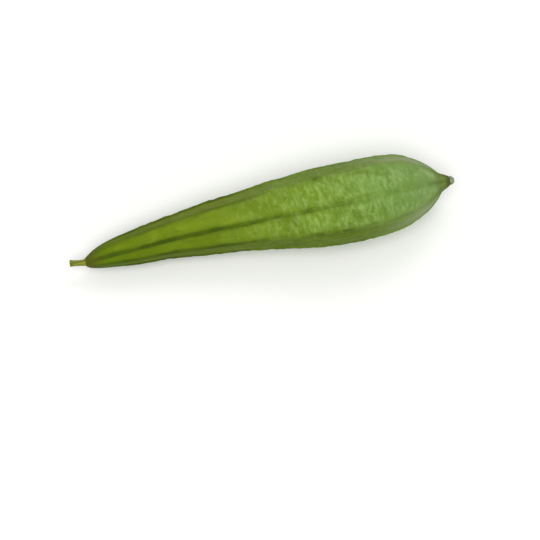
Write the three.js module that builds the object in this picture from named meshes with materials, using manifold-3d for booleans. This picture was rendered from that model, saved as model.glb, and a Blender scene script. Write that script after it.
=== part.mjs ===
// A ridge gourd (angled luffa), picked with a short length of its stalk and lying on its side.
// It is club-shaped, with ten raised ridges that run from the stalk to a small pointed beak,
// and a dry remnant of the flower is left at the beak's end.
//
// Millimetres. +X runs from the stalk to the beak, +Z is up and the gourd lies on Z = 0.
// The origin is under the middle of the whole gourd. A station is a distance along X from the
// place where the stalk joins the fruit.
import * as THREE from "three";
import { mergeVertices } from "three/addons/utils/BufferGeometryUtils.js";
import Module from "manifold-3d";

// ---- driving dimensions ----

const FRUIT_LENGTH = 296; // from the stalk's joint to the end of the beak
const STALK_LENGTH = 12.5;
const STALK_RADIUS = 2.6;
const REMNANT_LENGTH = 3.4; // the dry remnant of the flower
const REMNANT_RADIUS = 2.9; // where it leaves the fruit
const JOINT_GAP = 0.3; // between two pieces that meet face to face
const CONTACT_DEPTH = 0.7; // how far the lowest ridges are pressed flat where the gourd lies

// Half the fruit's width over its ridges, as [station, half width].
const FRUIT_OUTLINE = [
  [0, 3.6],
  [4, 6.0],
  [10, 8.4],
  [20, 10.9],
  [40, 14.2],
  [65, 17.2],
  [100, 21.3],
  [140, 25.8],
  [170, 29.9],
  [195, 32.3],
  [220, 32.8],
  [240, 31.8],
  [250, 30.6],
  [258, 28.9],
  [266, 25.5],
  [274, 20.9],
  [281, 15.5],
  [285, 11.4],
  [288, 8.0],
  [290, 6.8],
  [293, 5.4],
  [FRUIT_LENGTH, 3.6],
];

// How far the middle of the fruit bends sideways, as [station, offset along Y].
const FRUIT_BEND = [
  [-STALK_LENGTH, 1.9],
  [0, 0.1],
  [8, 1.4],
  [20, 2.9],
  [45, 4.6],
  [80, 5.9],
  [150, 4.5],
  [180, 2.6],
  [215, 1.0],
  [245, 1.6],
  [262, 2.4],
  [285, 2.4],
  [FRUIT_LENGTH + REMNANT_LENGTH, 2.4],
];

// How high the middle of the fruit lies, as [station, height]. From station 150 to 240 the
// underside is straight, and it rises towards the stalk.
const FRUIT_HEIGHT = [
  [-STALK_LENGTH, 16.4],
  [0, 16.6],
  [60, 19.2],
  [110, 22.6],
  [130, 24.4],
  [150, 26.4],
  [170, 28.6],
  [190, 30.2],
  [210, 30.9],
  [230, 30.8],
  [245, 30.3],
  [270, 29.3],
  [FRUIT_LENGTH + REMNANT_LENGTH, 29.5],
];

// Where the ridges stand round the fruit, in degrees from straight up towards +Y. A real gourd's
// ridges aren't evenly spaced. The pair on either side of 180 degrees carry it.
const RIDGE_ANGLES = [30, 63.5, 96, 128, 159.5, 193.5, 228.5, 264, 301, 342];

// How far the ridges turn round the fruit along it, as [station, degrees].
const RIDGE_TWIST = [
  [0, -5.5],
  [100, -3],
  [160, 0.5],
  [210, 4],
  [250, 6],
  [FRUIT_LENGTH, 7],
];

// How high the ridges stand above the skin between them, as [station, height].
const RIDGE_HEIGHT = [
  [0, 0],
  [8, 0.4],
  [30, 1.3],
  [70, 1.9],
  [130, 2.2],
  [200, 2.0],
  [250, 1.8],
  [285, 1.0],
  [FRUIT_LENGTH, 0.2],
];

// Across one space between two ridges, as [share of the space, share of the ridge's height lost].
const SPACE_SECTION = [
  [0, 0],
  [0.14, 0.84],
  [0.32, 1.0],
  [0.5, 1.06],
  [0.68, 1.0],
  [0.86, 0.84],
];

const FRUIT_RINGS = 46;
const STALK_RINGS = 4;
const STALK_SIDES = 10; // five angles and the five grooves between them
const STALK_GROOVE = 0.3;
const STALK_FLARE = 0.14; // share that the stalk's radius grows by, towards its cut end
const REMNANT_RINGS = 5;
const REMNANT_SIDES = 12;
const REMNANT_TAPER = 0.6; // share of its radius that the remnant loses
const REMNANT_ROUNDNESS = 1.5; // how late along its length the remnant tapers
const CURVE_SAMPLES = 24; // straight steps to each point of a curve
const WELD_DISTANCE = 1e-3; // nearer points than this are one point

const SKIN = new THREE.MeshStandardMaterial({ color: 0x7a9c3c, roughness: 0.5, metalness: 0 });
const STALK_GREEN = new THREE.MeshStandardMaterial({ color: 0x9c9a32, roughness: 0.65, metalness: 0 });
const DRY_FLOWER = new THREE.MeshStandardMaterial({ color: 0x6f6a4a, roughness: 0.85, metalness: 0 });

const wasm = await Module();
wasm.setup();

// ---- curves along the gourd ----

// A smooth function through [station, value] points.
function along(points) {
  const curve = new THREE.CatmullRomCurve3(
    points.map(([station, value]) => new THREE.Vector3(station, value, 0)),
    false,
    "centripetal",
  );
  const samples = curve.getPoints(points.length * CURVE_SAMPLES);
  return (station) => {
    const after = samples.findIndex((p) => p.x >= station);
    if (after < 0) return samples.at(-1).y;
    if (after === 0) return samples[0].y;
    const [p, q] = [samples[after - 1], samples[after]];
    return THREE.MathUtils.mapLinear(station, p.x, q.x, p.y, q.y);
  };
}

const fruitHalfWidth = along(FRUIT_OUTLINE);
const bend = along(FRUIT_BEND);
const height = along(FRUIT_HEIGHT);

const twist = along(RIDGE_TWIST);
const ridgeHeight = along(RIDGE_HEIGHT);

// ---- one closed solid of rings along the gourd ----

// place(ring, side) gives the point of a ring. The rings are counted towards the stalk, and a
// flat disc closes each end.
function ringedSolid(rings, sides, place) {
  const profile = [new THREE.Vector2(0, 0)];
  for (let ring = 0; ring < rings; ring++) profile.push(new THREE.Vector2(1, ring));
  profile.push(new THREE.Vector2(0, rings - 1));
  const lathe = new THREE.LatheGeometry(profile, sides);
  const position = lathe.getAttribute("position");
  const middle = (ring) => {
    const centre = new THREE.Vector3();
    for (let side = 0; side < sides; side++) centre.add(place(ring, side));
    return centre.divideScalar(sides);
  };
  for (let i = 0; i < position.count; i++) {
    const side = Math.floor(i / profile.length) % sides;
    const step = i % profile.length;
    const ring = THREE.MathUtils.clamp(step - 1, 0, rings - 1);
    const onAxis = step === 0 || step === profile.length - 1;
    const point = onAxis ? middle(ring) : place(ring, side);
    position.setXYZ(i, point.x, point.y, point.z);
  }
  lathe.deleteAttribute("normal");
  lathe.deleteAttribute("uv");
  return mergeVertices(lathe, WELD_DISTANCE);
}

// The point at an angle from straight up towards +Y, round the middle of the fruit.
function roundMiddle(station, degrees, radius) {
  const angle = THREE.MathUtils.degToRad(degrees);
  return new THREE.Vector3(
    station,
    bend(station) + radius * Math.sin(angle),
    height(station) + radius * Math.cos(angle),
  );
}

// ---- the three pieces ----

// Stations close up towards the two ends, where the outline curves most.
const fruitStation = (ring) => (FRUIT_LENGTH * (1 + Math.cos((Math.PI * ring) / (FRUIT_RINGS - 1)))) / 2;

function fruitPoint(ring, side) {
  const station = fruitStation(ring);
  const ridge = Math.floor(side / SPACE_SECTION.length);
  const [share, lost] = SPACE_SECTION[side % SPACE_SECTION.length];
  const from = RIDGE_ANGLES[ridge];
  const next = RIDGE_ANGLES[(ridge + 1) % RIDGE_ANGLES.length];
  const gap = THREE.MathUtils.euclideanModulo(next - from, 360);
  const radius = fruitHalfWidth(station) - lost * ridgeHeight(station);
  return roundMiddle(station, from + share * gap + twist(station), radius);
}

function stalkPoint(ring, side) {
  const share = ring / (STALK_RINGS - 1);
  const station = -JOINT_GAP - share * STALK_LENGTH;
  const radius = STALK_RADIUS * (1 + STALK_FLARE * share ** 2);
  const groove = side % 2 ? STALK_GROOVE : 0;
  return roundMiddle(station, (360 * side) / STALK_SIDES, radius - groove);
}

function remnantPoint(ring, side) {
  const share = 1 - ring / (REMNANT_RINGS - 1);
  const station = FRUIT_LENGTH + JOINT_GAP + share * REMNANT_LENGTH;
  const radius = REMNANT_RADIUS * (1 - REMNANT_TAPER * share ** REMNANT_ROUNDNESS);
  return roundMiddle(station, (360 * side) / REMNANT_SIDES, radius);
}

function solidOf(geometry) {
  return new wasm.Manifold(
    new wasm.Mesh({
      numProp: 3,
      vertProperties: geometry.getAttribute("position").array,
      triVerts: new Uint32Array(geometry.index.array),
    }),
  );
}

function geometryOf(solid) {
  const { vertProperties, triVerts } = solid.getMesh();
  return new THREE.BufferGeometry()
    .setAttribute("position", new THREE.BufferAttribute(vertProperties, 3))
    .setIndex(new THREE.BufferAttribute(triVerts, 1));
}

// The fruit with its lowest ridges pressed flat on the surface that it lies on.
function pressedFruit() {
  const whole = ringedSolid(FRUIT_RINGS, RIDGE_ANGLES.length * SPACE_SECTION.length, fruitPoint);
  whole.computeBoundingBox();
  const { min, max } = whole.boundingBox;
  const surface = min.z + CONTACT_DEPTH;
  const under = new THREE.BoxGeometry(2 * max.x, 4 * max.y, 2 * max.z);
  under.translate(0, 0, surface - max.z);
  under.deleteAttribute("normal");
  under.deleteAttribute("uv");
  const pressed = solidOf(whole).subtract(solidOf(mergeVertices(under)));
  return { geometry: geometryOf(pressed), surface };
}

function piece(name, geometry, material) {
  const mesh = new THREE.Mesh(geometry, material);
  mesh.name = name;
  return mesh;
}

const { geometry: fruitGeometry, surface } = pressedFruit();
const gourd = new THREE.Group();
gourd.add(piece("fruit", fruitGeometry, SKIN));
gourd.add(piece("stalk", ringedSolid(STALK_RINGS, STALK_SIDES, stalkPoint), STALK_GREEN));
gourd.add(piece("flower_remnant", ringedSolid(REMNANT_RINGS, REMNANT_SIDES, remnantPoint), DRY_FLOWER));

// The origin goes under the middle of the whole gourd, on the surface that it lies on.
const extent = new THREE.Box3().setFromObject(gourd, true);
const centre = extent.getCenter(new THREE.Vector3());
gourd.position.set(-centre.x, -centre.y, -surface);

export default gourd;
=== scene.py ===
"""A picked ridge gourd (angled luffa) lying on a white table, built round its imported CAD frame.

The fruit, its cut stalk and the dry remnant of its flower are modelled as a maker would by hand:
a ring is added where the stalk joins, pulled out station by station along the fruit, given its
ridges, and then swollen, wrinkled and pressed flat where it lies. A station is a distance in
millimetres from the place where the stalk joins the fruit.
"""

import logging
import math
from collections.abc import Callable
from dataclasses import dataclass
from enum import Enum

import bmesh
import bpy
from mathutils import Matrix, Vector, noise


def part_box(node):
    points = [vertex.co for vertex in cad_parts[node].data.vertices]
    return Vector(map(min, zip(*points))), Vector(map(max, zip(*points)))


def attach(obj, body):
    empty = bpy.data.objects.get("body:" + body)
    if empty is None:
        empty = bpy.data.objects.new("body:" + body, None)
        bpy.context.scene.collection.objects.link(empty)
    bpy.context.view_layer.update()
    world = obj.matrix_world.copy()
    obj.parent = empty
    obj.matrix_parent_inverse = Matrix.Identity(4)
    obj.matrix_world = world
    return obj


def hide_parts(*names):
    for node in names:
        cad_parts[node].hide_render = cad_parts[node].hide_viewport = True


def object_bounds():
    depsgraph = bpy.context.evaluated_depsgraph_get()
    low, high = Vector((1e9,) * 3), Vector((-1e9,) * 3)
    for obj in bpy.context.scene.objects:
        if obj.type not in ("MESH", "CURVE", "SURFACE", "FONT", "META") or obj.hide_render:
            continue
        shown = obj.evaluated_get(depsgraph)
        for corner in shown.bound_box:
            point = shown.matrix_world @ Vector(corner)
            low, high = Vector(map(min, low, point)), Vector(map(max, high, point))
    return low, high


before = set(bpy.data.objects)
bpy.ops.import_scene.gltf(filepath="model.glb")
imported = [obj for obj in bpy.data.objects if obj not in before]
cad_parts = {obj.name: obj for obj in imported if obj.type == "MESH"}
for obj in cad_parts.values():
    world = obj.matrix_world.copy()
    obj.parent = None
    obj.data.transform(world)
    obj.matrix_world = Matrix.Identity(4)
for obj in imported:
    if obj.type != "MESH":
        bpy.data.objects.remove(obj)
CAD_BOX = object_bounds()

LOG = logging.getLogger("ridge_gourd")
MM = 0.001
NEAR = 0.1 * MM
BODY = "root"
SUBDIVISIONS = 2

Station = tuple[float, float]
Socket = bpy.types.NodeSocket


# ---------------------------------------------------------------------------------------------
# Small tools
# ---------------------------------------------------------------------------------------------


@dataclass(frozen=True)
class Curve:
    """A smooth function through (station, value) points."""

    points: tuple[Station, ...]

    def _slope(self, i: int) -> float:
        """Works out the slope at a point from its neighbours.

        Args:
            i: the point's number.

        Returns:
            The slope there.
        """
        a = self.points[max(i - 1, 0)]
        b = self.points[min(i + 1, len(self.points) - 1)]
        return (b[1] - a[1]) / (b[0] - a[0])

    def at(self, station: float) -> float:
        """Returns the value at a station.

        Args:
            station: distance along the gourd, in millimetres.

        Returns:
            The value there, held constant beyond the first and last points.
        """
        points = self.points
        if station <= points[0][0]:
            return points[0][1]
        if station >= points[-1][0]:
            return points[-1][1]
        i = max(k for k in range(len(points) - 1) if points[k][0] <= station)
        (x0, y0), (x1, y1) = points[i], points[i + 1]
        run = x1 - x0
        t = (station - x0) / run
        start = (2 * t**3 - 3 * t**2 + 1) * y0 + (t**3 - 2 * t**2 + t) * run * self._slope(i)
        end = (3 * t**2 - 2 * t**3) * y1 + (t**3 - t**2) * run * self._slope(i + 1)
        return start + end


def linear(colour: str) -> tuple[float, float, float, float]:
    """Turns an sRGB hex colour into the linear colour that a shader takes.

    Args:
        colour: six hex digits after a hash.

    Returns:
        Linear red, green, blue and an alpha of 1.
    """
    shares = [int(colour[i : i + 2], 16) / 255 for i in (1, 3, 5)]
    turned = [c / 12.92 if c <= 0.04045 else ((c + 0.055) / 1.055) ** 2.4 for c in shares]
    return (turned[0], turned[1], turned[2], 1.0)


def smooth_step(value: float, low: float, high: float) -> float:
    """Returns 0 at low, 1 at high and an easy rise between them; low may be the larger."""
    t = min(max((value - low) / (high - low), 0.0), 1.0)
    return t * t * (3 - 2 * t)


def start_afresh() -> None:
    """Leaves edit mode and deselects everything."""
    if bpy.context.object is not None and bpy.context.object.mode != "OBJECT":
        bpy.ops.object.mode_set(mode="OBJECT")
    bpy.ops.object.select_all(action="DESELECT")


def select(piece: bpy.types.Object, wanted: Callable[[bmesh.types.BMVert], bool]) -> None:
    """Selects the vertices of a piece in edit mode by a test.

    Args:
        piece: the object in edit mode.
        wanted: the test that a vertex has to meet.
    """
    mesh = bmesh.from_edit_mesh(piece.data)
    for vertex in mesh.verts:
        vertex.select = wanted(vertex)
    mesh.select_flush_mode()
    bmesh.update_edit_mesh(piece.data)


def select_ring(piece: bpy.types.Object, centre: Vector) -> None:
    """Selects the ring that stands across the gourd's length round a centre."""
    select(piece, lambda vertex: abs(vertex.co.x - centre.x) < NEAR)


def pull_out(step: Vector) -> None:
    """Extrudes the selected ring by a step."""
    bpy.ops.mesh.extrude_region_move(TRANSFORM_OT_translate={"value": step})


def widen(factor: float, centre: Vector) -> None:
    """Scales the selection across the gourd's length, about a centre."""
    bpy.ops.transform.resize(value=(1.0, factor, factor), center_override=centre)


def turn(degrees: float, centre: Vector, axis: str = "X") -> None:
    """Turns the selection; about X, the gourd's length, it goes from straight up towards +Y."""
    bpy.ops.transform.rotate(value=math.radians(degrees), orient_axis=axis, center_override=centre)


def close_end(centre: Vector, rings: tuple[Station, ...], middle_mm: float = 0.0) -> None:
    """Closes the selected ring with smaller rings and a point in its middle.

    Args:
        centre: the middle of the end.
        rings: each further ring's size, as a share of the one before, and its step along +X.
        middle_mm: the step along +X from the last ring to the point.
    """
    for share, step_mm in rings:
        pull_out(Vector((step_mm * MM, 0, 0)))
        widen(share, centre)
    pull_out(Vector((middle_mm * MM, 0, 0)))
    bpy.ops.mesh.merge(type="CENTER")


def add_ring(name: str, sides: int, radius: float, centre: Vector) -> bpy.types.Object:
    """Adds an open ring across the gourd's length.

    Args:
        name: the new piece's name.
        sides: how many vertices the ring has.
        radius: its radius in metres.
        centre: its middle.

    Returns:
        The new object, with its place in its mesh.
    """
    start_afresh()
    bpy.ops.mesh.primitive_circle_add(
        vertices=sides, radius=radius, location=centre, rotation=(0, math.pi / 2, 0)
    )
    piece = bpy.context.object
    piece.name = name
    bpy.ops.object.transform_apply(location=True, rotation=True, scale=True)
    return piece


def weigh(piece: bpy.types.Object, name: str, weights: list[float]) -> None:
    """Adds a vertex group.

    Args:
        piece: the object that gets it.
        name: the group's name.
        weights: each vertex's weight, from 0 to 1, which is kept in steps of a 32nd.
    """
    group = piece.vertex_groups.new(name=name)
    steps = 32
    for step in range(1, steps + 1):
        members = [i for i, weight in enumerate(weights) if round(weight * steps) == step]
        if members:
            group.add(members, step / steps, "REPLACE")


def place_in_frame(piece: bpy.types.Object, node: str) -> None:
    """Lets a piece stand for its CAD node.

    Args:
        piece: the finished piece.
        node: the CAD node's name.
    """
    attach(piece, BODY)
    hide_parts(node)


def apply_all(piece: bpy.types.Object) -> None:
    """Applies every modifier in order.

    Args:
        piece: the object that has them.
    """
    start_afresh()
    piece.select_set(True)
    bpy.context.view_layer.objects.active = piece
    for modifier in list(piece.modifiers):
        bpy.ops.object.modifier_apply(modifier=modifier.name)


def turn_outwards(piece: bpy.types.Object) -> None:
    """Turns all the faces of a piece in edit mode outwards."""
    select(piece, lambda vertex: True)
    bpy.ops.mesh.normals_make_consistent(inside=False)


def round_off(piece: bpy.types.Object, name: str) -> None:
    """Leaves edit mode and rounds a piece's rings off into a smooth skin.

    Args:
        piece: the object in edit mode.
        name: what the skin is called.
    """
    bpy.ops.object.mode_set(mode="OBJECT")
    smooth = piece.modifiers.new(name, "SUBSURF")
    smooth.levels = smooth.render_levels = SUBDIVISIONS
    apply_all(piece)
    bpy.ops.object.shade_smooth()


def add_node(
    tree: bpy.types.NodeTree,
    kind: str,
    settings: dict[str, object] | None = None,
    links: dict[str | int, object] | None = None,
) -> bpy.types.Node:
    """Adds a shader node with its settings and links.

    Args:
        tree: the material's or world's node tree.
        kind: the node's type without its ShaderNode prefix.
        settings: values by name; a name that starts with "in:" is an input socket's.
        links: for each input's name or number, the output socket that feeds it.

    Returns:
        The new node.
    """
    node = tree.nodes.new("ShaderNode" + kind)
    for name, value in (settings or {}).items():
        if name.startswith("in:"):
            key = name[3:]
            node.inputs[int(key) if key.isdigit() else key].default_value = value
        else:
            setattr(node, name, value)
    for key, source in (links or {}).items():
        tree.links.new(source, node.inputs[key])
    return node


# ---------------------------------------------------------------------------------------------
# The gourd's form
# ---------------------------------------------------------------------------------------------


class Lobe(Enum):
    """Where a lengthwise row of vertices stands between two ridges."""

    CREST = "crest"
    FLANK = "flank"
    FACE = "face"
    MIDDLE = "middle"


# For each kind of row, the shares of the ridge's height that it lies below the crest, and of the
# face's swell that lift it again.
LOBE_SECTION = {
    Lobe.CREST: (0.0, 0.0),
    Lobe.FLANK: (0.80, 0.0),
    Lobe.FACE: (1.0, 0.45),
    Lobe.MIDDLE: (1.1, 0.85),
}

# One space between two ridges: each row's share of the way across, and what it belongs to.
SPACE = (
    (0.0, Lobe.CREST),
    (0.13, Lobe.FLANK),
    (0.31, Lobe.FACE),
    (0.5, Lobe.MIDDLE),
    (0.69, Lobe.FACE),
    (0.87, Lobe.FLANK),
)


@dataclass(frozen=True)
class Form:
    """The gourd's driving dimensions, in millimetres and degrees, and where they put its middle."""

    origin: Vector
    length: float
    half_width: Curve
    bend: Curve
    rise: Curve
    ridge_angles: tuple[float, ...] = (30, 63.5, 96, 128, 159.5, 193.5, 228.5, 264, 301, 342)
    ridge_height: Curve = Curve(
        (
            (0, 0.0), (8, 0.4), (30, 1.3), (70, 1.9), (130, 2.2), (200, 2.0), (250, 1.8),
            (285, 1.0), (296, 0.2),
        )
    )
    face_swell: Curve = Curve(
        ((0, 0.3), (40, 0.1), (120, 0.25), (180, 0.45), (240, 0.5), (280, 0.4), (296, 0.2))
    )
    twist: Curve = Curve(((0, -5.5), (100, -3), (160, 0.5), (210, 4), (250, 6), (296, 7)))

    def middle(self, station: float) -> Vector:
        """Returns the point in the middle of the gourd at a station, in metres."""
        place = Vector((station, self.bend.at(station), self.rise.at(station)))
        return self.origin + place * MM

    def radius(self, station: float, lobe: Lobe) -> float:
        """Returns how far a row lies from the middle, in metres.

        Args:
            station: distance along the gourd, in millimetres.
            lobe: the row's place between two ridges.

        Returns:
            The radius of that row at the station.
        """
        crest = self.half_width.at(station)
        height = self.ridge_height.at(station)
        swell = self.face_swell.at(station) * height
        lost, swollen = LOBE_SECTION[lobe]
        return (crest - lost * height + swollen * swell) * MM

    def rows(self) -> list[tuple[float, Lobe]]:
        """Lists the lengthwise rows in order round the fruit.

        Returns:
            Each row's angle without twist, and its place between two ridges.
        """
        angles = self.ridge_angles
        found = []
        for i, angle in enumerate(angles):
            gap = (angles[(i + 1) % len(angles)] - angle) % 360
            found += [(angle + share * gap, lobe) for share, lobe in SPACE]
        return found

    def crest_distance(self, station: float, degrees: float) -> float:
        """Returns how far round the fruit the nearest crest is.

        Args:
            station: distance along the gourd, in millimetres.
            degrees: angle from straight up towards +Y.

        Returns:
            The distance along the skin, in millimetres.
        """
        own = degrees - self.twist.at(station)
        nearest = min(abs((own - angle + 180) % 360 - 180) for angle in self.ridge_angles)
        return math.radians(nearest) * self.half_width.at(station)

    def locate(self, point: Vector) -> tuple[float, float]:
        """Finds where a point is on the gourd.

        Args:
            point: the point in the frame.

        Returns:
            Its station, and its angle in degrees from straight up towards +Y.
        """
        station = (point.x - self.origin.x) / MM
        arm = point - self.middle(station)
        return station, math.degrees(math.atan2(arm.y, arm.z))


def gourd_form() -> Form:
    """Builds the form inside the CAD fruit's box.

    Returns:
        The gourd's form.
    """
    low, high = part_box("fruit")
    tip_low, tip_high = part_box("flower_remnant")
    length = (high.x - low.x) / MM
    bend = Curve(
        (
            (-13, 1.9), (0, 0.1), (8, 1.4), (20, 2.9), (45, 4.6), (80, 5.9), (150, 4.5),
            (180, 2.6), (215, 1.0), (245, 1.6), (262, 2.4), (285, 2.4), (300, 2.4),
        )
    )
    rise = Curve(
        (
            (-13, 16.4), (0, 16.6), (60, 19.2), (110, 22.6), (130, 24.4), (150, 26.4),
            (170, 28.6), (190, 30.2), (210, 30.9), (230, 30.8), (245, 30.3), (270, 29.3),
            (300, 29.5),
        )
    )
    half_width = Curve(
        (
            (0, 3.6), (4, 6.0), (10, 8.4), (20, 10.9), (40, 14.2), (65, 17.2), (100, 21.3),
            (140, 25.8), (170, 29.9), (195, 32.3), (220, 32.8), (240, 31.8), (250, 30.6),
            (258, 28.9), (266, 25.5), (274, 20.9), (281, 15.5), (285, 11.4), (288, 8.0),
            (290, 6.8), (293, 5.4), (296, 3.6),
        )
    )
    tip = (tip_low + tip_high) / 2
    tip_station = (tip.x - low.x) / MM
    y = tip.y - bend.at(tip_station) * MM
    z = tip.z - rise.at(tip_station) * MM
    return Form(Vector((low.x, y, z)), length, half_width, bend, rise)


# ---------------------------------------------------------------------------------------------
# Finishes
# ---------------------------------------------------------------------------------------------


@dataclass(frozen=True)
class Cloud:
    """A cloudy pattern with a value about 0.5, and the length of its patches along each axis."""

    name: str
    grain_mm: tuple[float, float, float]
    detail: float = 2.0
    slant_deg: float = 0.0
    warp: float = 0.0
    crispness: float = 0.55


@dataclass(frozen=True)
class Mask:
    """A part of the surface: it fades in as its pattern goes from one value to another."""

    name: str
    pattern: str
    bare: float
    full: float


@dataclass(frozen=True)
class Coat:
    """A thin coat of colour, which fades in with its pattern and is held within some masks."""

    colour: str
    pattern: str
    bare: float
    full: float
    strength: float = 1.0
    within: tuple[str, ...] = ()


@dataclass(frozen=True)
class Emboss:
    """Relief too fine to model: how high a pattern's peaks stand, and how much of it shows."""

    pattern: str
    depth_mm: float
    strength: float


@dataclass(frozen=True)
class Finish:
    """What a surface is made of: its ground colour, the coats over it, its fine relief and its
    gloss. Patterns lie in the piece's own coordinates or are numbers kept at its vertices."""

    name: str
    ground: str
    roughness: float
    ior: float = 1.45
    gloss: float = 0.5
    kept: tuple[str, ...] = ()
    clouds: tuple[Cloud, ...] = ()
    masks: tuple[Mask, ...] = ()
    coats: tuple[Coat, ...] = ()
    embossed: tuple[Emboss, ...] = ()

    def material(self) -> bpy.types.Material:
        """Builds the material.

        Returns:
            The new material.
        """
        material = bpy.data.materials.new(self.name)
        material.use_nodes = True
        tree = material.node_tree
        tree.nodes.clear()
        patterns = self._patterns(tree)
        settings: dict[str, object] = {
            "in:Roughness": self.roughness,
            "in:IOR": self.ior,
            "in:Specular IOR Level": self.gloss,
        }
        links: dict[str, Socket] = {}
        if self.coats:
            links["Base Color"] = self._paint(tree, patterns)
        else:
            settings["in:Base Color"] = linear(self.ground)
        if self.embossed:
            links["Normal"] = self._relief(tree, patterns)
        shader = add_node(tree, "BsdfPrincipled", settings, links).outputs[0]
        add_node(tree, "OutputMaterial", None, {"Surface": shader})
        return material

    def _patterns(self, tree: bpy.types.NodeTree) -> dict[str, Socket]:
        """Adds the patterns and masks.

        Args:
            tree: the material's node tree.

        Returns:
            Each one's output socket under its name.
        """
        found = {}
        for name in self.kept:
            found[name] = add_node(tree, "Attribute", {"attribute_name": name}).outputs["Fac"]
        place = add_node(tree, "TexCoord").outputs["Object"]
        for cloud in self.clouds:
            layout = {
                "vector_type": "TEXTURE",
                "in:Rotation": (0.0, 0.0, math.radians(cloud.slant_deg)),
                "in:Scale": tuple(grain * MM for grain in cloud.grain_mm),
            }
            placed = add_node(tree, "Mapping", layout, {"Vector": place}).outputs[0]
            look = {
                "in:Scale": 1.0,
                "in:Detail": cloud.detail,
                "in:Roughness": cloud.crispness,
                "in:Distortion": cloud.warp,
            }
            found[cloud.name] = add_node(tree, "TexNoise", look, {"Vector": placed}).outputs["Fac"]
        for mask in self.masks:
            ends = {"interpolation_type": "SMOOTHSTEP", "in:1": mask.bare, "in:2": mask.full}
            found[mask.name] = add_node(tree, "MapRange", ends, {0: found[mask.pattern]}).outputs[0]
        return found

    def _paint(self, tree: bpy.types.NodeTree, patterns: dict[str, Socket]) -> Socket:
        """Lays the coats over the ground colour, one after the other.

        Args:
            tree: the material's node tree.
            patterns: the patterns and masks.

        Returns:
            The socket that gives the colour.
        """
        colour = None
        for coat in self.coats:
            ends = {
                "interpolation_type": "SMOOTHSTEP",
                "in:1": coat.bare,
                "in:2": coat.full,
                "in:4": coat.strength,
            }
            factor = add_node(tree, "MapRange", ends, {0: patterns[coat.pattern]}).outputs[0]
            for name in coat.within:
                both = {0: factor, 1: patterns[name]}
                factor = add_node(tree, "Math", {"operation": "MULTIPLY"}, both).outputs[0]
            settings = {"data_type": "RGBA", "in:7": linear(coat.colour)}
            links = {0: factor}
            if colour is None:
                settings["in:6"] = linear(self.ground)
            else:
                links[6] = colour
            colour = add_node(tree, "Mix", settings, links).outputs[2]
        return colour

    def _relief(self, tree: bpy.types.NodeTree, patterns: dict[str, Socket]) -> Socket:
        """Stacks the fine reliefs.

        Args:
            tree: the material's node tree.
            patterns: the patterns and masks.

        Returns:
            The socket that gives the surface's direction.
        """
        normal = None
        for relief in self.embossed:
            settings = {"in:Strength": relief.strength, "in:Distance": relief.depth_mm * MM}
            links = {"Height": patterns[relief.pattern]}
            if normal is not None:
                links["Normal"] = normal
            normal = add_node(tree, "Bump", settings, links).outputs[0]
        return normal


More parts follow.
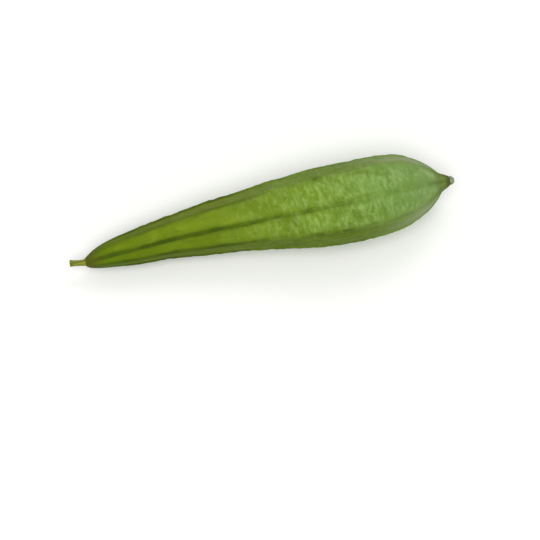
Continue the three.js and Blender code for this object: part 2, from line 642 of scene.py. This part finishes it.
# Fresh luffa rind, thin and waxy: yellow-green and fairly smooth on the neck, paler, greyer and
# puckered across on the belly. Dark crests, a brown shoulder and a dark beak give its lines; the
# crest lines are dark crest colour with painted shade. Painted sheen lies over its whitish bloom,
# with a brown painted shade on the neck's side strips; painted shade and a painted green
# reflection lie over its olive, most on the strip on the -Y side; the fine puckers get painted
# highlight and shade, and the creases painted shade. Its pores are really about 0.3 mm wide, and
# are drawn at 1.4 mm so that they show.
LUFFA_RIND = Finish(
    name="luffa_rind",
    ground="#657905",
    roughness=0.6,
    gloss=0.12,
    kept=("station_mm", "crest_mm", "crest_tone_and_shade", "olive_and_shade", "bloom_and_sheen"),
    clouds=(
        Cloud("drifts", (26.0, 15.0, 15.0), 3.0, warp=0.6),
        Cloud("blotches", (5.6, 11.0, 11.0), 2.5, slant_deg=14.0, warp=0.35),
        Cloud("creases", (3.0, 9.0, 9.0), 2.5, slant_deg=-12.0, warp=0.4),
        Cloud("streaks", (40.0, 2.2, 2.2), 2.0),
        Cloud("fine_puckers", (2.8, 6.5, 6.5), 1.5, slant_deg=10.0, warp=0.2),
        Cloud("patches", (18.0, 9.0, 9.0), 2.0, warp=0.3),
        Cloud("pores", (1.4, 1.4, 1.4), 1.0),
    ),
    masks=(
        Mask("on_neck", "station_mm", 155.0, 110.0),
        Mask("on_belly", "station_mm", 85.0, 200.0),
        Mask("on_end", "station_mm", 205.0, 262.0),
        Mask("near_beak", "station_mm", 270.0, 290.0),
        Mask("on_beak", "station_mm", 284.0, 289.0),
        Mask("patchy", "patches", 0.42, 0.58),
    ),
    coats=(
        Coat("#6d8414", "station_mm", 30.0, 100.0),
        Coat("#73902c", "station_mm", 90.0, 185.0),
        Coat("#75964a", "station_mm", 175.0, 250.0),
        Coat("#586d02", "drifts", 0.46, 0.66, 0.5),
        Coat("#8a9c24", "drifts", 0.46, 0.30, 0.4),
        Coat("#586d02", "streaks", 0.50, 0.68, 0.35, ("on_neck",)),
        Coat("#91af5c", "blotches", 0.50, 0.62, 0.28, ("on_belly",)),
        Coat("#5a7410", "blotches", 0.47, 0.34, 0.25, ("on_belly",)),
        # Painted highlight on the raised parts and painted shade in the sunken parts of the fine
        # puckers.
        Coat("#9dba68", "fine_puckers", 0.53, 0.64, 0.32, ("on_belly",)),
        Coat("#56700e", "fine_puckers", 0.46, 0.35, 0.38, ("on_belly",)),
        Coat("#93a97a", "blotches", 0.54, 0.68, 0.28, ("on_end",)),
        Coat("#a6bd74", "pores", 0.66, 0.76, 0.5, ("on_belly",)),
        # Painted shade in the creases.
        Coat("#4d6204", "creases", 0.40, 0.28, 0.45, ("on_belly",)),
        Coat("#6c9430", "drifts", 0.48, 0.60, 0.4, ("on_end",)),
        # Whitish bloom with painted sheen over it.
        Coat("#87985e", "bloom_and_sheen", 0.0, 1.0, 0.8),
        Coat("#9a9c80", "bloom_and_sheen", 0.2, 0.9, 0.34, ("on_end",)),
        # Brown painted shade on the neck's side strips.
        Coat("#736824", "bloom_and_sheen", 0.05, 0.35, 0.34, ("on_neck",)),
        # Olive with painted shade and a painted green reflection, most on the strip on the -Y side.
        Coat("#536905", "olive_and_shade", 0.0, 1.0, 0.8),
        Coat("#445a00", "olive_and_shade", 0.4, 0.9, 0.15, ("on_neck",)),
        Coat("#3f5400", "streaks", 0.50, 0.62, 0.5, ("olive_and_shade",)),
        # Dark crest colour with painted shade along the crests.
        Coat("#566d04", "crest_mm", 5.0, 1.2, 0.55, ("crest_tone_and_shade",)),
        Coat("#668824", "crest_mm", 6.5, 1.5, 0.5, ("on_end",)),
        # Darker crest colour with painted shade, in patches and on the neck.
        Coat("#384c00", "crest_mm", 2.4, 0.8, 0.6, ("crest_tone_and_shade", "patchy")),
        Coat("#384c00", "crest_mm", 2.6, 0.8, 0.58, ("crest_tone_and_shade", "on_neck")),
        Coat("#93a18c", "station_mm", 225.0, 284.0, 0.16),
        Coat("#465024", "crest_mm", 2.4, 0.5, 0.62, ("near_beak",)),
        Coat("#505014", "station_mm", 16.0, 2.0, 0.75),
        Coat("#657626", "station_mm", 279.0, 287.0, 0.6),
        Coat("#4a5a16", "drifts", 0.5, 0.56, 0.6, ("on_beak",)),
        Coat("#404a26", "station_mm", 290.0, 295.0, 0.75),
    ),
    embossed=(
        Emboss("creases", 0.6, 0.6),
        Emboss("blotches", 0.6, 0.6),
        Emboss("fine_puckers", 0.4, 0.5),
        Emboss("pores", 0.2, 0.25),
    ),
)

# A gourd's stalk: ribbed and fibrous, yellow-green, and dull because it has no wax. Its fibres are
# really about 0.3 mm wide, and are drawn at 0.8 mm so that they show.
STALK_FIBRE = Finish(
    name="stalk_fibre",
    ground="#8b8f2c",
    roughness=0.62,
    gloss=0.3,
    clouds=(Cloud("fibres", (9.0, 0.8, 0.8), 3.0),),
    coats=(Coat("#5f6612", "fibres", 0.42, 0.62),),
    embossed=(Emboss("fibres", 0.3, 0.5),),
)

# The stalk's fresh cut: pale, moist pith with darker strands, drawn as coarse as the fibres.
CUT_PITH = Finish(
    name="cut_pith",
    ground="#a9ad68",
    roughness=0.5,
    ior=1.4,
    clouds=(Cloud("strands", (5.0, 0.7, 0.7), 1.0),),
    coats=(Coat("#757c2a", "strands", 0.50, 0.60),),
    embossed=(Emboss("strands", 0.2, 0.5),),
)

# The flower's dried remnant: papery, grey-brown, crumpled and fully matt.
WITHERED_PETAL = Finish(
    name="withered_petal",
    ground="#494a32",
    roughness=0.88,
    gloss=0.2,
    clouds=(Cloud("crumples", (1.0, 1.0, 1.0), 4.0),),
    coats=(Coat("#a3aa90", "crumples", 0.38, 0.60),),
    embossed=(Emboss("crumples", 0.4, 0.7),),
)

# The table's white laminate, so matt that it mirrors nothing.
WHITE_LAMINATE = Finish(name="white_laminate", ground="#f8f8f6", roughness=0.9, gloss=0.2)


# ---------------------------------------------------------------------------------------------
# Pieces
# ---------------------------------------------------------------------------------------------


@dataclass(frozen=True)
class Relief:
    """One kind of unevenness, embossed in a piece by a cloudy pattern."""

    name: str
    grain_mm: tuple[float, float, float]
    depth_mm: float
    carried_by: str
    direction: str = "NORMAL"
    slant_deg: float = 0.0

    def emboss(self, piece: bpy.types.Object) -> None:
        """Embosses the relief.

        Args:
            piece: the object, whose vertex group says how much each vertex moves.
        """
        start_afresh()
        bpy.ops.object.empty_add(location=(0, 0, 0), rotation=(0, 0, math.radians(self.slant_deg)))
        guide = bpy.context.object
        guide.scale = Vector(self.grain_mm) * MM
        bpy.context.view_layer.update()
        cloud = bpy.data.textures.new(self.name, "CLOUDS")
        cloud.noise_scale = 1.0
        cloud.noise_depth = 2
        relief = piece.modifiers.new(self.name, "DISPLACE")
        relief.texture = cloud
        relief.texture_coords = "OBJECT"
        relief.texture_coords_object = guide
        relief.strength = self.depth_mm * MM
        relief.mid_level = 0.5
        relief.direction = self.direction
        relief.vertex_group = self.carried_by
        apply_all(piece)
        bpy.data.objects.remove(guide)


@dataclass(frozen=True)
class Region:
    """A part of the fruit, which fades in from the first number of each pair to the second."""

    crest_mm: Station | None = None
    start_mm: Station | None = None
    end_mm: Station | None = None

    def share(self, station: float, crest: float) -> float:
        """Returns how far inside the region a place is, by its station and its nearest crest."""
        fades = ((crest, self.crest_mm), (station, self.start_mm), (station, self.end_mm))
        return math.prod(smooth_step(value, *ends) for value, ends in fades if ends)


def at_least(least: float, share: float) -> float:
    """Returns a share from 0 to 1 squeezed to go from a least value to 1."""
    return least + (1 - least) * share


@dataclass
class Fruit:
    """The ridged fruit with its neck, belly and beak, in one rind.

    Ridges are numbered in the order of their angles, and a face has the number of the ridge before
    it. A dash is a ridge's number and the stations where a darker stretch of its crest line, dark
    crest colour with painted shade, starts and ends.
    """

    form: Form
    rind: Finish
    neck_stations: tuple[float, ...] = (0.0, 0.7, 1.6, 2.8, 4.3, 6.2, 8.5, 11.2, 14.3)
    beak_stations: tuple[float, ...] = (
        275.0, 277.6, 280.0, 282.4, 284.4, 286.0, 287.2, 288.2, 289.4, 290.8, 292.6, 294.4
    )
    spacing: float = 4.0
    crest_crease: float = 0.8
    belly_crease: float = 0.5
    end_rings: tuple[Station, ...] = ((0.6, 0.0), (0.5, 0.0))
    belly_start: float = 170.0
    crest_waver: float = 0.55
    waver_grain: float = 11.0
    # How dark each ridge's line is: its dark crest colour with painted shade along it.
    ridge_tone_and_shade: tuple[float, ...] = (0.45, 0.8, 0.8, 0.8, 0.5, 0.7, 0.7, 1.0, 1.0, 1.0)
    dash_darkness: float = 1.0
    dash_fade: float = 9.0
    # Ridge 8's line is widened on its lower side, as painted shadow under that ridge.
    line_widths: tuple[float, ...] = (1.0, 1.0, 1.0, 1.0, 1.0, 1.0, 1.0, 1.0, 1.8, 1.0)
    dashes: tuple[tuple[int, float, float], ...] = (
        (0, 182, 200),
        (9, 146, 164),
        (9, 168, 188),
        (8, 146, 172),
        (8, 176, 216),
        (3, 160, 185),
        (5, 150, 200),
    )
    # Each face's olive, with painted shade and a painted green reflection in it.
    olive_and_shade_faces: tuple[float, ...] = (0.55, 0.5, 0.2, 0.5, 0.2, 0.4, 0.6, 1.0, 0.0, 0.0)
    # Each face's whitish bloom, with painted sheen in it.
    bloom_and_sheen_faces: tuple[float, ...] = (1.0, 0.65, 0.4, 0.3, 0.2, 0.3, 0.3, 0.9, 0.0, 0.1)
    face_edge: float = 0.3
    puckered_neck: float = 0.2
    puckered_underside: float = 0.3
    dented_neck: float = 0.3
    name: str = "ridged_fruit"

    # Real unevenness, and where on the fruit each kind is. The underside is counted in degrees
    # from the lowest line.
    RELIEFS = (
        Relief("swells", (34.0, 24.0, 24.0), 1.2, "rind"),
        Relief("wandering_crests", (22.0, 60.0, 60.0), 1.7, "crests_wander", "Y"),
        Relief("wandering_side_crests", (27.0, 60.0, 60.0), 1.7, "crests_wander", "Z"),
        Relief("dents", (10.0, 13.0, 13.0), 1.9, "dents", slant_deg=14.0),
        Relief("puckers", (3.8, 9.0, 9.0), 1.0, "puckers", slant_deg=9.0),
        Relief("small_puckers", (1.9, 4.0, 4.0), 0.35, "puckers", slant_deg=-6.0),
        Relief("nicked_crests", (4.5, 30.0, 30.0), 0.9, "crest_tops"),
    )
    RIND = Region(start_mm=(3.0, 40.0), end_mm=(290.0, 268.0))
    FACES = Region(crest_mm=(0.6, 3.0), end_mm=(288.0, 268.0))
    BELLY = Region(start_mm=(60.0, 185.0))
    CRESTS = Region((6.5, 0.5), (8.0, 50.0), (285.0, 252.0))
    CREST_TOPS = Region((1.9, 0.0), (12.0, 60.0), (287.0, 258.0))
    UNDERSIDE_DEG = (12.0, 38.0)

    # How dark the crest lines, dark crest colour with painted shade, are along the fruit, and how
    # much olive with painted shade and bloom with painted sheen its faces get.
    TONE_AND_SHADE_ALONG = Curve(
        ((0, 0.5), (20, 1.0), (130, 1.0), (152, 0.6), (205, 0.4), (280, 0.3), (296, 0.0))
    )
    OLIVE_AND_SHADE_ALONG = Curve(
        ((0, 0.8), (40, 0.9), (120, 0.8), (170, 1.0), (210, 1.0), (250, 0.5), (275, 0.0))
    )
    BLOOM_AND_SHEEN_ALONG = Curve(
        ((0, 0.0), (30, 0.3), (120, 0.35), (200, 0.45), (245, 0.75), (275, 1.0), (288, 0.3))
    )

    def _stations(self) -> list[float]:
        """Lists where the rings are, closer together at the two ends.

        Returns:
            The rings' stations.
        """
        neck, beak = self.neck_stations, self.beak_stations
        count = round((beak[0] - neck[-1]) / self.spacing)
        belly = [neck[-1] + (beak[0] - neck[-1]) * i / count for i in range(1, count)]
        return [*neck, *belly, *beak, self.form.length]

    def _first_ring(self, station: float) -> bpy.types.Object:
        """Adds the ring where the stalk joins and turns its vertices to their rows.

        Args:
            station: where the ring is.

        Returns:
            The new object, in edit mode, with each row in its vertex group.
        """
        rows = self.form.rows()
        centre = self.form.middle(station)
        piece = add_ring(self.name, len(rows), self.form.radius(station, Lobe.CREST), centre)
        groups = {lobe: piece.vertex_groups.new(name=lobe.value) for lobe in Lobe}
        angles = [self.form.locate(vertex.co)[1] % 360 for vertex in piece.data.vertices]
        step = 360 / len(rows)
        first = rows[0][0]
        row_of = {i: round((angle - first) / step) % len(rows) for i, angle in enumerate(angles)}
        for i, row in row_of.items():
            groups[rows[row][1]].add([i], 1.0, "REPLACE")
        bpy.ops.object.mode_set(mode="EDIT")
        for i, row in row_of.items():
            away = rows[row][0] + self.form.twist.at(station) - angles[i]
            select(piece, lambda vertex: vertex.index == i)
            turn((away + 180) % 360 - 180, centre)
        select(piece, lambda vertex: True)
        return piece

    def _shape_ring(self, piece: bpy.types.Object, before: float | None, station: float) -> None:
        """Gives the selected ring its ridges, by scaling each kind of row about the middle.

        Args:
            piece: the fruit in edit mode, with one ring selected.
            before: the station that the ring was pulled from, or None for the first one.
            station: the ring's station.
        """
        centre = self.form.middle(station)
        kinds = {group.index: Lobe(group.name) for group in piece.vertex_groups}
        mesh = bmesh.from_edit_mesh(piece.data)
        weights = mesh.verts.layers.deform.verify()
        ring = {v.index: kinds[next(iter(v[weights].keys()))] for v in mesh.verts if v.select}
        for lobe in Lobe:
            old = self.form.radius(station, Lobe.CREST)
            if before is not None:
                old = self.form.radius(before, lobe)
            select(piece, lambda vertex: ring.get(vertex.index) is lobe)
            widen(self.form.radius(station, lobe) / old, centre)
        select(piece, lambda vertex: vertex.index in ring)

    def build(self) -> bpy.types.Object:
        """Models the fruit.

        Returns:
            The finished mesh object.
        """
        stations = self._stations()
        piece = self._first_ring(stations[0])
        self._shape_ring(piece, None, stations[0])
        for before, station in zip(stations, stations[1:]):
            centre = self.form.middle(station)
            pull_out(centre - self.form.middle(before))
            turn(self.form.twist.at(station) - self.form.twist.at(before), centre)
            self._shape_ring(piece, before, station)
        close_end(self.form.middle(stations[-1]), self.end_rings)
        first = self.form.middle(stations[0])
        select_ring(piece, first)
        close_end(first, self.end_rings)
        turn_outwards(piece)
        self._crease(piece)
        round_off(piece, "smooth_skin")
        spots = [self.form.locate(vertex.co) for vertex in piece.data.vertices]
        crests = [self.form.crest_distance(*spot) for spot in spots]
        self._keep_patterns(piece, spots, crests)
        self._weigh_reliefs(piece, spots, crests)
        for relief in self.RELIEFS:
            relief.emboss(piece)
        self._press(piece)
        return piece

    def _crease(self, piece: bpy.types.Object) -> None:
        """Marks the crest edges, more on the neck than on the belly, so that they stay crisp.

        Args:
            piece: the fruit in edit mode.
        """
        crest = piece.vertex_groups[Lobe.CREST.value].index
        belly_x = self.form.middle(self.belly_start).x
        for crease, on_belly in ((self.crest_crease, False), (self.belly_crease, True)):
            mesh = bmesh.from_edit_mesh(piece.data)
            weights = mesh.verts.layers.deform.verify()
            for edge in mesh.edges:
                on_crest = all(crest in vertex[weights] for vertex in edge.verts)
                edge.select = on_crest and (edge.verts[0].co.x > belly_x) == on_belly
            bmesh.update_edit_mesh(piece.data)
            bpy.ops.transform.edge_crease(value=crease)

    def _keep_patterns(
        self, piece: bpy.types.Object, spots: list[Station], crests: list[float]
    ) -> None:
        """Keeps the numbers that the rind's coats follow.

        Args:
            piece: the smooth fruit.
            spots: each vertex's station and angle.
            crests: each vertex's distance from the nearest crest, in millimetres.
        """
        stations = [station for station, _ in spots]
        olive_and_shade = [self._across(*spot, self.olive_and_shade_faces) for spot in spots]
        bloom_and_sheen = [self._across(*spot, self.bloom_and_sheen_faces) for spot in spots]
        kept = {
            "station_mm": stations,
            "crest_mm": [
                self._ragged(vertex.co, crest / self._line_width(*spot))
                for vertex, crest, spot in zip(piece.data.vertices, crests, spots)
            ],
            "crest_tone_and_shade": [self._tone_and_shade(*spot) for spot in spots],
            "olive_and_shade": [share * self.OLIVE_AND_SHADE_ALONG.at(s) for share, s in zip(olive_and_shade, stations)],
            "bloom_and_sheen": [share * self.BLOOM_AND_SHEEN_ALONG.at(s) for share, s in zip(bloom_and_sheen, stations)],
        }
        for name, values in kept.items():
            piece.data.attributes.new(name, "FLOAT", "POINT").data.foreach_set("value", values)

    def _weigh_reliefs(
        self, piece: bpy.types.Object, spots: list[Station], crests: list[float]
    ) -> None:
        """Says how much each relief moves each vertex.

        Args:
            piece: the smooth fruit.
            spots: each vertex's station and angle.
            crests: each vertex's distance from the nearest crest, in millimetres.
        """
        groups = {name: [] for name in ("rind", "puckers", "dents", "crests_wander", "crest_tops")}
        for (station, degrees), crest in zip(spots, crests):
            face = self.FACES.share(station, crest)
            belly = self.BELLY.share(station, crest)
            upper = smooth_step(180 - abs(degrees), *self.UNDERSIDE_DEG)
            puckered = face * at_least(self.puckered_neck, belly)
            groups["rind"].append(self.RIND.share(station, crest))
            groups["puckers"].append(puckered * at_least(self.puckered_underside, upper))
            groups["dents"].append(face * at_least(self.dented_neck, belly) * upper)
            groups["crests_wander"].append(self.CRESTS.share(station, crest))
            groups["crest_tops"].append(self.CREST_TOPS.share(station, crest))
        for name, weights in groups.items():
            weigh(piece, name, weights)

    def _ragged(self, place: Vector, crest: float) -> float:
        """Returns a distance from the crest that wavers, so that the crest's line isn't ruled."""
        return max(crest + self.crest_waver * noise.noise(place / (self.waver_grain * MM)), 0.0)

    def _line_width(self, station: float, degrees: float) -> float:
        """Finds how wide the nearest crest's line is; only its lower side is widened, as painted
        shadow under the ridge.

        Args:
            station: distance along the gourd, in millimetres.
            degrees: angle from straight up towards +Y.

        Returns:
            The width as a share of the usual one.
        """
        ridge = self._nearest(station, degrees)
        own = degrees - self.form.twist.at(station)
        below = (own - self.form.ridge_angles[ridge] + 180) % 360 - 180 < 0
        return self.line_widths[ridge] if below else 1.0

    def _nearest(self, station: float, degrees: float) -> int:
        """Finds the nearest ridge.

        Args:
            station: distance along the gourd, in millimetres.
            degrees: angle from straight up towards +Y.

        Returns:
            The ridge's number.
        """
        own = degrees - self.form.twist.at(station)
        away = [abs((own - angle + 180) % 360 - 180) for angle in self.form.ridge_angles]
        return away.index(min(away))

    def _tone_and_shade(self, station: float, degrees: float) -> float:
        """Finds how dark the nearest crest's line is, dark crest colour with painted shade, with
        its darker dashes.

        Args:
            station: distance along the gourd, in millimetres.
            degrees: angle from straight up towards +Y.

        Returns:
            The share of darkness there.
        """
        ridge = self._nearest(station, degrees)
        darkness = self.ridge_tone_and_shade[ridge] * self.TONE_AND_SHADE_ALONG.at(station)
        for dashed, start, end in self.dashes:
            if dashed == ridge:
                begun = smooth_step(station, start, start + self.dash_fade)
                left = smooth_step(station, end, end - self.dash_fade)
                darkness = max(darkness, self.dash_darkness * (begun * left))
        return darkness

    def _across(self, station: float, degrees: float, shares: tuple[float, ...]) -> float:
        """Finds the share of the face at a place, eased over from one face to the next.

        Args:
            station: distance along the gourd, in millimetres.
            degrees: angle from straight up towards +Y.
            shares: each face's share.

        Returns:
            The share there.
        """
        angles = self.form.ridge_angles
        own = (degrees - self.form.twist.at(station) - angles[0]) % 360
        starts = [(angle - angles[0]) % 360 for angle in angles] + [360.0]
        face = max(i for i in range(len(angles)) if starts[i] <= own)
        along = (own - starts[face]) / (starts[face + 1] - starts[face])
        here = shares[face]
        before, after = shares[face - 1], shares[(face + 1) % len(angles)]
        blend = 0.5 * (before - here) * smooth_step(along, self.face_edge, 0.0)
        return here + blend + 0.5 * (after - here) * smooth_step(along, 1 - self.face_edge, 1.0)

    @staticmethod
    def _press(piece: bpy.types.Object) -> None:
        """Presses the lowest crests flat on the table.

        Args:
            piece: the fruit with its relief.
        """
        start_afresh()
        bpy.context.view_layer.objects.active = piece
        piece.select_set(True)
        bpy.ops.object.mode_set(mode="EDIT")
        select(piece, lambda vertex: vertex.co.z < 0.0)
        bpy.ops.transform.resize(value=(1, 1, 0), center_override=(0, 0, 0))
        bpy.ops.object.mode_set(mode="OBJECT")

    def dress(self, piece: bpy.types.Object) -> None:
        """Gives the fruit its rind and its place in the frame."""
        piece.data.materials.append(self.rind.material())
        place_in_frame(piece, "fruit")


@dataclass
class Stalk:
    """The short stalk: five-angled, a little flared at its slanting cut, rooted in the fruit.

    The cut has a crisp rim, a pale face and a slightly sunken middle.
    """

    form: Form
    bark: Finish
    pith: Finish
    sides: int = 20
    flutes: tuple[float, ...] = (1.08, 1.0, 0.9, 1.0)
    profile: tuple[Station, ...] = (
        (0.9, 3.3), (-0.3, 3.0), (-1.4, 2.62), (-3.5, 2.42), (-6.5, 2.38), (-9.5, 2.52),
        (-11.8, 2.74), (-12.6, 2.72),
    )
    slant_deg: float = 6.0
    cut_rings: tuple[Station, ...] = ((0.95, 0.0), (0.9, 0.05), (0.55, 0.12), (0.45, 0.1))
    cut_middle: float = 0.05
    cut_facing: float = -0.75
    cut_depth: float = 0.9
    name: str = "cut_stalk"

    def build(self) -> bpy.types.Object:
        """Models the stalk.

        Returns:
            The finished mesh object.
        """
        start, radius = self.profile[0]
        centre = self.form.middle(start)
        piece = add_ring(self.name, self.sides, radius * MM, centre)
        bpy.ops.object.mode_set(mode="EDIT")
        for k, flute in enumerate(self.flutes):
            select(piece, lambda vertex: self._side(vertex.co, centre) % len(self.flutes) == k)
            widen(flute, centre)
        select(piece, lambda vertex: True)
        for (before, old), (station, new) in zip(self.profile, self.profile[1:]):
            pull_out(self.form.middle(station) - self.form.middle(before))
            widen(new / old, self.form.middle(station))
        end = self.form.middle(self.profile[-1][0])
        turn(self.slant_deg, end, axis="Z")
        close_end(end, self.cut_rings, self.cut_middle)
        turn_outwards(piece)
        round_off(piece, "smooth_bark")
        return piece

    def _side(self, point: Vector, centre: Vector) -> int:
        """Returns which of the ring's sides a point stands on."""
        arm = point - centre
        return round(math.degrees(math.atan2(arm.y, arm.z)) / (360 / self.sides)) % self.sides

    def dress(self, piece: bpy.types.Object) -> None:
        """Gives the bark and the cut their materials, and the stalk its place in the frame.

        Args:
            piece: the finished stalk.
        """
        piece.data.materials.append(self.bark.material())
        piece.data.materials.append(self.pith.material())
        edge = self.form.middle(self.profile[-1][0]).x + self.cut_depth * MM
        for face in piece.data.polygons:
            cut = face.normal.x < self.cut_facing and face.center.x < edge
            face.material_index = int(cut)
        place_in_frame(piece, "stalk")


@dataclass
class FlowerRemnant:
    """The dried stub of the flower on the beak's end, with five withered lobes."""

    form: Form
    petal: Finish
    sides: int = 15
    lobe_every: int = 3
    profile: tuple[Station, ...] = (
        (295.3, 2.9), (296.1, 3.5), (297.0, 3.4), (297.9, 3.1), (298.6, 2.7), (299.2, 2.0),
        (299.6, 1.2),
    )
    end_rings: tuple[Station, ...] = ((0.5, 0.0),)
    lobe_stations: tuple[float, float] = (296.1, 297.3)
    lobe_spread: float = 1.14
    name: str = "flower_remnant_tip"

    CRUMPLES = Relief("crumples", (1.1, 0.8, 0.8), 0.55, "petal")

    def build(self) -> bpy.types.Object:
        """Models the remnant.

        Returns:
            The finished mesh object.
        """
        start, radius = self.profile[0]
        first = self.form.middle(start)
        piece = add_ring(self.name, self.sides, radius * MM, first)
        bpy.ops.object.mode_set(mode="EDIT")
        for (before, old), (station, new) in zip(self.profile, self.profile[1:]):
            pull_out(self.form.middle(station) - self.form.middle(before))
            widen(new / old, self.form.middle(station))
        close_end(self.form.middle(self.profile[-1][0]), self.end_rings)
        select_ring(piece, first)
        close_end(first, self.end_rings)
        select(piece, self._on_lobe)
        widen(self.lobe_spread, self.form.middle(self.lobe_stations[0]))
        turn_outwards(piece)
        round_off(piece, "smooth_petal")
        weigh(piece, self.CRUMPLES.carried_by, [1.0] * len(piece.data.vertices))
        self.CRUMPLES.emboss(piece)
        return piece

    def _on_lobe(self, vertex: bmesh.types.BMVert) -> bool:
        """Tells whether a vertex is on one of the five lobes.

        Args:
            vertex: a vertex of the remnant.

        Returns:
            True if it is.
        """
        station, degrees = self.form.locate(vertex.co)
        side = round(degrees / (360 / self.sides)) % self.sides
        low, high = self.lobe_stations
        return side % self.lobe_every == 0 and low <= station <= high

    def dress(self, piece: bpy.types.Object) -> None:
        """Gives the remnant its material and its place in the frame."""
        piece.data.materials.append(self.petal.material())
        place_in_frame(piece, "flower_remnant")


# ---------------------------------------------------------------------------------------------
# Studio
# ---------------------------------------------------------------------------------------------


@dataclass(frozen=True)
class Softbox:
    """A round softbox that hangs over the table."""

    name: str
    place: tuple[float, float, float]
    width: float
    watts: float
    aim_height: float = 0.02

    def hang(self) -> None:
        """Adds the softbox, aimed at the gourd."""
        bpy.ops.object.light_add(type="AREA", location=self.place)
        lamp = bpy.context.object
        lamp.name = self.name
        lamp.data.shape = "DISK"
        lamp.data.size = self.width
        lamp.data.energy = self.watts
        aim = Vector((0, 0, self.aim_height)) - Vector(self.place)
        lamp.rotation_euler = aim.to_track_quat("-Z", "Y").to_euler()


@dataclass
class Studio:
    """A white table in a light tent, and the camera that looks down on the gourd."""

    softboxes: tuple[Softbox, ...] = (
        Softbox("main_softbox", (-0.1, -0.40, 1.42), 1.2, 12.0),
        Softbox("side_softbox", (0.35, 0.7, 0.95), 0.5, 2.2),
    )
    table_width: float = 6.0
    tent_top: float = 0.62
    tent_side: float = 0.48
    tent_rise: float = 0.9
    azimuth: float = -12.0
    elevation: float = 78.0
    lens: float = 85.0
    distance: float = 1.005
    aim_right: float = 0.0061
    aim_down: float = 0.0391

    def table(self) -> None:
        """Adds the white table."""
        start_afresh()
        bpy.ops.mesh.primitive_plane_add(size=self.table_width, location=(0, 0, 0))
        table = bpy.context.object
        table.name = "white_table"
        table.data.materials.append(WHITE_LAMINATE.material())

    def tent(self) -> None:
        """Surrounds the table with a light tent that is brighter above than at its sides."""
        world = bpy.data.worlds.new("light_tent")
        world.use_nodes = True
        tree = world.node_tree
        around = add_node(tree, "TexCoord").outputs["Generated"]
        height = add_node(tree, "SeparateXYZ", None, {0: around}).outputs["Z"]
        brighter = {"in:2": self.tent_rise, "in:3": self.tent_side, "in:4": self.tent_top}
        bright = add_node(tree, "MapRange", brighter, {0: height}).outputs[0]
        tree.nodes["Background"].inputs["Color"].default_value = (1, 1, 1, 1)
        tree.links.new(bright, tree.nodes["Background"].inputs["Strength"])
        bpy.context.scene.world = world

    def camera(self) -> None:
        """Aims the camera so that the gourd lies above the middle of the view."""
        low, high = CAD_BOX
        a, e = math.radians(self.azimuth), math.radians(self.elevation)
        back = Vector((math.sin(a) * math.cos(e), -math.cos(a) * math.cos(e), math.sin(e)))
        turned = (-back).to_track_quat("-Z", "Y")
        aim = (low + high) / 2 + turned @ Vector((self.aim_right, -self.aim_down, 0))
        data = bpy.data.cameras.new("camera")
        data.lens = self.lens
        camera = bpy.data.objects.new("camera", data)
        camera.rotation_mode = "QUATERNION"
        camera.rotation_quaternion = turned
        camera.location = aim + back * self.distance
        bpy.context.scene.collection.objects.link(camera)
        bpy.context.scene.camera = camera
        bpy.context.scene.view_settings.view_transform = "Standard"

    def build(self) -> None:
        """Sets up the table, the light and the camera."""
        self.table()
        self.tent()
        for softbox in self.softboxes:
            softbox.hang()
        self.camera()


def main() -> None:
    """Builds the studio and the gourd, piece by piece."""
    logging.basicConfig(level=logging.INFO, format="%(name)s: %(message)s")
    form = gourd_form()
    Studio().build()
    for part in (
        Fruit(form, LUFFA_RIND),
        Stalk(form, STALK_FIBRE, CUT_PITH),
        FlowerRemnant(form, WITHERED_PETAL),
    ):
        piece = part.build()
        part.dress(piece)
        LOG.info("%s: %d faces", piece.name, len(piece.data.polygons))


if __name__ == "__main__":
    main()
